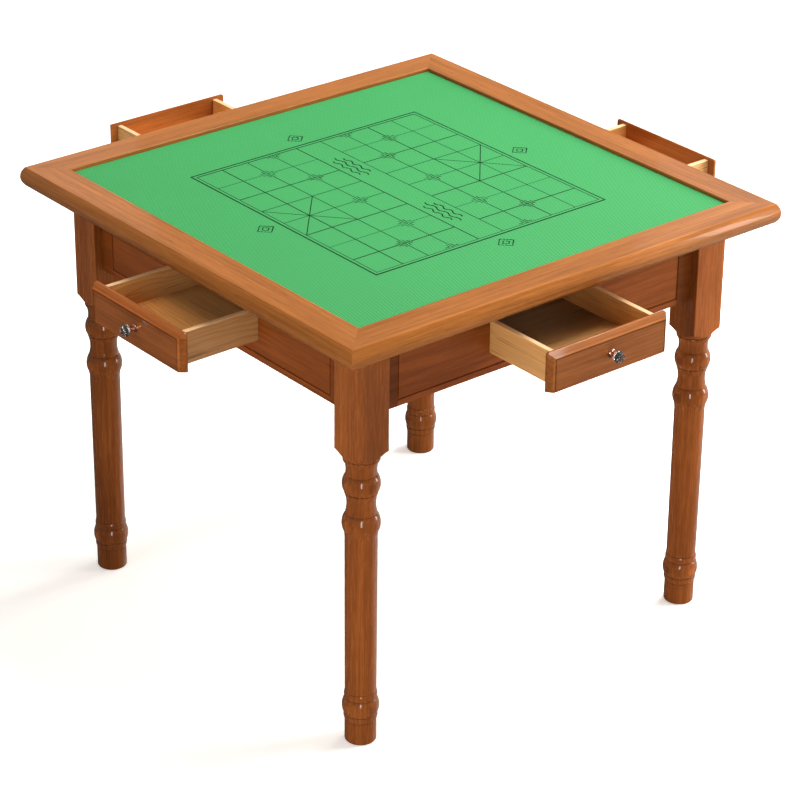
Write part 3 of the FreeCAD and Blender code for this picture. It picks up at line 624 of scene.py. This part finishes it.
def star_strips(rank, file):
    """Four corner brackets round a point where a piece starts."""
    x, y = grid_x(rank), grid_y(file)
    strips = []
    for to_x in (-1, 1):
        for to_y in (-1, 1):
            if not 0 <= file + to_y <= FILES:
                continue
            near_x, far_x = x + to_x * STAR_GAP, x + to_x * (STAR_GAP + STAR_ARM)
            near_y, far_y = y + to_y * STAR_GAP, y + to_y * (STAR_GAP + STAR_ARM)
            strips.append(strip_x(near_x, *sorted((near_y, far_y)), STAR_LINE))
            strips.append(strip_y(near_y, *sorted((near_x, far_x)), STAR_LINE))
    return strips


def board_strips():
    """Every straight line of the board that runs along X or Y."""
    strips = frame_strips(BOARD_HALF_X, BOARD_HALF_Y, BORDER_LINE)
    strips += frame_strips(BOARD_HALF_X - BORDER_GAP, BOARD_HALF_Y - BORDER_GAP, INNER_LINE)
    for rank in range(1, RANKS):
        strips.append(strip_x(grid_x(rank), grid_y(0), grid_y(FILES), GRID_LINE))
    for file in range(1, FILES):
        for low, high in ((0, RIVER_FROM), (RIVER_TO, RANKS)):
            strips.append(strip_y(grid_y(file), grid_x(low), grid_x(high), GRID_LINE))
    for rank in (2, RANKS - 2):
        strips += star_strips(rank, 1) + star_strips(rank, FILES - 1)
    for rank in (3, RANKS - 3):
        for file in range(0, FILES + 1, 2):
            strips += star_strips(rank, file)
    return strips


def thicken(shape, height):
    """Turn flat faces into a closed film of a given height."""
    bottom = list(shape.faces)
    lifted = bmesh.ops.extrude_face_region(shape, geom=bottom, use_keep_orig=True)
    top = [item for item in lifted["geom"] if isinstance(item, bmesh.types.BMVert)]
    bmesh.ops.translate(shape, vec=(0, 0, height), verts=top)
    bmesh.ops.recalc_face_normals(shape, faces=shape.faces)


def film(name, shape, height):
    """The mesh of flat faces once they are thickened."""
    thicken(shape, height)
    mesh = bpy.data.meshes.new(name)
    shape.to_mesh(mesh)
    shape.free()
    return mesh


def snapped(value):
    """A length to a tenth of a micrometre, so that strips that share a limit share its number."""
    return round(value, 7)


def cells_mesh(name, strips, height):
    """One closed film whose outline is the union of all strips."""
    strips = [[snapped(value) for value in strip] for strip in strips]
    xs = sorted({value for strip in strips for value in strip[:2]})
    ys = sorted({value for strip in strips for value in strip[2:]})
    column = {value: number for number, value in enumerate(xs)}
    row = {value: number for number, value in enumerate(ys)}
    shape = bmesh.new()
    corners = {}

    def corner(i, j):
        if (i, j) not in corners:
            spot = (MIDDLE.x + xs[i], MIDDLE.y + ys[j], MAT_TOP)
            corners[i, j] = shape.verts.new(spot)
        return corners[i, j]

    filled = {(i, j) for x_low, x_high, y_low, y_high in strips
              for i in range(column[x_low], column[x_high])
              for j in range(row[y_low], row[y_high])}
    for i, j in sorted(filled):
        shape.faces.new((corner(i, j), corner(i + 1, j), corner(i + 1, j + 1), corner(i, j + 1)))
    return film(name, shape, height)


def ribbon(shape, points, width):
    """A flat ribbon along points on the mat, given about the middle of the board."""
    left, right = [], []
    for number, point in enumerate(points):
        before = points[max(number - 1, 0)]
        after = points[min(number + 1, len(points) - 1)]
        heading = (Vector(after) - Vector(before)).normalized()
        aside = Vector((-heading.y, heading.x)) * width / 2
        for side, offset in ((left, aside), (right, -aside)):
            spot = Vector(point) + offset
            side.append(shape.verts.new((MIDDLE.x + spot.x, MIDDLE.y + spot.y, MAT_TOP)))
    for number in range(len(points) - 1):
        shape.faces.new((left[number], right[number], right[number + 1], left[number + 1]))


def ribbons_mesh(name, lines, width, height):
    """One closed film for each line."""
    shape = bmesh.new()
    for points in lines:
        ribbon(shape, points, width)
    return film(name, shape, height)


PALACE_GAP_X = GRID_LINE * 0.6
PALACE_GAP_Y = GRID_LINE * 0.7


def palace_lines():
    """The diagonals of the two palaces; one of each pair is cut where the other crosses it."""
    lines = []
    for low, high in ((0, 2), (RANKS - 2, RANKS)):
        x_low, x_high = grid_x(low), grid_x(high)
        y_low, y_high = grid_y(FILES // 2 - 1), grid_y(FILES // 2 + 1)
        middle_x, middle_y = (x_low + x_high) / 2, (y_low + y_high) / 2
        lines.append([(x_low, y_low), (x_high, y_high)])
        lines.append([(x_low, y_high), (middle_x - PALACE_GAP_X, middle_y + PALACE_GAP_Y)])
        lines.append([(middle_x + PALACE_GAP_X, middle_y - PALACE_GAP_Y), (x_high, y_low)])
    return lines


RIPPLE_LENGTH = 92 * MM
RIPPLE_TAPER = 0.22
RIPPLE_SWAY = 2.6 * MM
RIPPLE_WAVES = 3
RIPPLE_STEPS = 36
RIPPLE_GAP = 11 * MM
RIPPLE_PLACE = 120 * MM
RIPPLE_LINE = 2.4 * MM


def ripple(centre_x, centre_y, length):
    """Points of a ripple that runs along Y."""
    points = []
    for number in range(RIPPLE_STEPS + 1):
        share = number / RIPPLE_STEPS
        sway = RIPPLE_SWAY * math.sin(2 * math.pi * RIPPLE_WAVES * share)
        points.append((centre_x + sway, centre_y + (share - 0.5) * length))
    return points


def river_ripples():
    """Three ripples in each half of the river, the middle one the longest."""
    river_x = (grid_x(RIVER_FROM) + grid_x(RIVER_TO)) / 2
    return [ripple(river_x + step * RIPPLE_GAP, sign * RIPPLE_PLACE,
                   RIPPLE_LENGTH * (1 - RIPPLE_TAPER * abs(step)))
            for sign in (-1, 1) for step in (-1, 0, 1)]


SIDE_MARK_OUT = 30 * MM
SIDE_MARK_HALVES = (16 * MM, 7 * MM)


def lozenge(centre_x, centre_y, half):
    corners = [(half, 0), (0, half), (-half, 0), (0, -half), (half, 0)]
    return [(centre_x + x, centre_y + y) for x, y in corners]


def side_marks():
    """A plain lozenge inside another, outside each side of the board."""
    spots = [(sign * (BOARD_HALF_X + SIDE_MARK_OUT), 0) for sign in (-1, 1)]
    spots += [(0, sign * (BOARD_HALF_Y + SIDE_MARK_OUT)) for sign in (-1, 1)]
    return [lozenge(x, y, half) for x, y in spots for half in SIDE_MARK_HALVES]


def as_object(name, mesh, material, body):
    """Put a mesh in the scene, on a body, with its material."""
    piece = bpy.data.objects.new(name, mesh)
    bpy.context.scene.collection.objects.link(piece)
    piece.data.materials.append(material)
    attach(piece, body)


def print_board():
    """The print, as four pieces of thin closed film on the mat."""
    films = {
        "board_lines": cells_mesh("board_lines", board_strips(), INK_HEIGHT),
        "palace_lines": ribbons_mesh("palace_lines", palace_lines(), GRID_LINE, DIAGONAL_HEIGHT),
        "river_ripples": ribbons_mesh("river_ripples", river_ripples(), RIPPLE_LINE, INK_HEIGHT),
        "side_marks": ribbons_mesh("side_marks", side_marks(), RIPPLE_LINE, INK_HEIGHT),
    }
    dark = ink("board_ink")
    for name, mesh in films.items():
        as_object(name, mesh, dark, "table_frame")


# ---------------------------------------------------------------- softened edges

# Widths in millimetres; a node takes the first of these that its name holds.
EASED = {"top_rail_": 2.2, "apron_": 0.5, "leg_": 0.6, "_front": 0.9, "_side_": 0.4,
         "_back": 0.4, "runner_": 0.8, "kicker_": 0.8}
LEFT_SHARP = ("leg_bolts", "leg_nuts")
SHARPEST = math.radians(32)
WELD_REACH = 0.005 * MM


def ease_edges():
    """Give the sharp arrises of the wood a small real radius, without moving a face."""
    for node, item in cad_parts.items():
        widths = [width for key, width in EASED.items() if key in node]
        if node in LEFT_SHARP or not widths:
            continue
        weld = item.modifiers.new("weld", "WELD")
        weld.merge_threshold = WELD_REACH
        bevel = item.modifiers.new("ease", "BEVEL")
        bevel.width = widths[0] * MM
        bevel.segments = 2
        bevel.limit_method = "ANGLE"
        bevel.angle_limit = SHARPEST
        bevel.harden_normals = True


# ---------------------------------------------------------------- floor, light and camera

CAMERA_AZIMUTH = -39.384
CAMERA_ELEVATION = 27.10
CAMERA_ROLL = math.radians(0.594)
CAMERA_FROM_MIDDLE = Vector((-2.890, -3.535, 2.696))
CAMERA_LENS = 134.13
CAMERA_SENSOR = 36.0
CAMERA_SEES_TO = 100.0


def make_camera():
    """The pinhole camera that the photograph's perspective gives."""
    data = bpy.data.cameras.new("camera")
    data.lens = CAMERA_LENS
    data.sensor_width = CAMERA_SENSOR
    data.clip_end = CAMERA_SEES_TO
    camera = bpy.data.objects.new("camera", data)
    bpy.context.scene.collection.objects.link(camera)
    back = direction(CAMERA_AZIMUTH, CAMERA_ELEVATION)
    right = (-back).cross(Vector((0, 0, 1))).normalized()
    up = right.cross(-back)
    rolled_right = math.cos(CAMERA_ROLL) * right + math.sin(CAMERA_ROLL) * up
    rolled_up = -math.sin(CAMERA_ROLL) * right + math.cos(CAMERA_ROLL) * up
    turn = Matrix((rolled_right, rolled_up, back)).transposed()
    spot = Vector((MIDDLE.x, MIDDLE.y, 0)) + CAMERA_FROM_MIDDLE
    camera.matrix_world = Matrix.Translation(spot) @ turn.to_4x4()
    bpy.context.scene.camera = camera


FLOOR_REACH = 30.0
FLOOR_GLOW = 0.36
FLOOR_DARK, FLOOR_LIGHT = (0.955, 0.955, 0.95), (0.975, 0.975, 0.97)


def make_floor():
    """A plain pale floor, wide enough for every view."""
    shader = Shader("floor")
    grain = shader.noise(whole_place(shader), 60.0, 2.0)
    colour = shader.mix(shader.ramp(grain, 0.3, 0.7), FLOOR_DARK, FLOOR_LIGHT)
    material = shader.finish(Base_Color=colour, Roughness=0.9, Emission_Color=colour,
                             Emission_Strength=FLOOR_GLOW)
    mesh = bpy.data.meshes.new("floor")
    corners = [(x * FLOOR_REACH, y * FLOOR_REACH, 0) for x, y in ((-1, -1), (1, -1), (1, 1), (-1, 1))]
    mesh.from_pydata(corners, [], [(0, 1, 2, 3)])
    mesh.materials.append(material)
    floor = bpy.data.objects.new("floor", mesh)
    bpy.context.scene.collection.objects.link(floor)
    floor.visible_glossy = False


# Azimuth and elevation in degrees, distance, width and height in metres, and power in watts.
LAMPS = {
    "overhead": (75, 66, 3.4, 2.2, 2.2, 165),
    "right": (56, 14, 2.4, 1.0, 1.5, 30),
    "right_strip": (58, 5, 2.4, 0.36, 0.9, 10),
    "right_rim": (98, 10, 2.6, 0.9, 1.5, 50),
    "rear_right": (112, 30, 3.6, 1.9, 1.7, 8),
    "rear_left": (166, 30, 3.6, 1.5, 1.7, 5),
    "left": (-95, 30, 3.2, 1.2, 1.4, 18),
    "front": (-38, 6, 3.4, 0.42, 1.8, 30),
}
NOT_MIRRORED = ("right", "right_rim", "left")
LAMPS_LOOK_AT = Vector((MIDDLE.x, MIDDLE.y, 0.6))


def soft_light(name, azimuth, elevation, distance, width, height, power):
    """A rectangular softbox that looks at the table."""
    out = direction(azimuth, elevation)
    data = bpy.data.lights.new(name, "AREA")
    data.shape = "RECTANGLE"
    data.size = width
    data.size_y = height
    data.energy = power
    light = bpy.data.objects.new(name, data)
    bpy.context.scene.collection.objects.link(light)
    light.location = LAMPS_LOOK_AT + out * distance
    light.rotation_mode = "QUATERNION"
    light.rotation_quaternion = (-out).to_track_quat("-Z", "Y")
    light.visible_glossy = name not in NOT_MIRRORED


WALL_COLOUR = (1.0, 0.94, 0.84)
WALL_STRENGTH = 0.275
BELOW_FLOOR = 0.30
BRIGHT_WALL = direction(90, 0)
BRIGHT_WALL_ADDS = 2.2


def make_studio():
    """Warm white walls, brighter on the right. What lies under the floor is dimmer, and only
    polished surfaces mirror it, because they don't see the floor."""
    world = bpy.data.worlds.new("studio")
    world.use_nodes = True
    nodes = Nodes(world.node_tree)
    outward = nodes.add("TexCoord").outputs["Generated"]
    height = nodes.add("SeparateXYZ", {"Vector": outward}).outputs["Z"]
    walls = nodes.ramp(height, -0.30, 0.10, BELOW_FLOOR, 1.0, kind="LINEAR")
    to_right = nodes.add("VectorMath", {0: outward, 1: BRIGHT_WALL}, operation="DOT_PRODUCT")
    brighter = nodes.ramp(to_right.outputs["Value"], 0.52, 0.92, 0.0, BRIGHT_WALL_ADDS, kind="LINEAR")
    colour = nodes.scale_colour(WALL_COLOUR, nodes.math("ADD", walls, brighter))
    background = world.node_tree.nodes["Background"]
    background.inputs["Strength"].default_value = WALL_STRENGTH
    world.node_tree.links.new(colour, background.inputs["Color"])
    bpy.context.scene.world = world


def make_light():
    for name, values in LAMPS.items():
        soft_light(name, *values)
    make_studio()
    bpy.context.scene.view_settings.view_transform = "Standard"


# ---------------------------------------------------------------- the scene

finish_woodwork()
finish_inside()
finish_drawers()
paint("playing_mat", mat_cloth("mat_cloth"))
print_board()
ease_edges()
make_floor()
make_light()
make_camera()
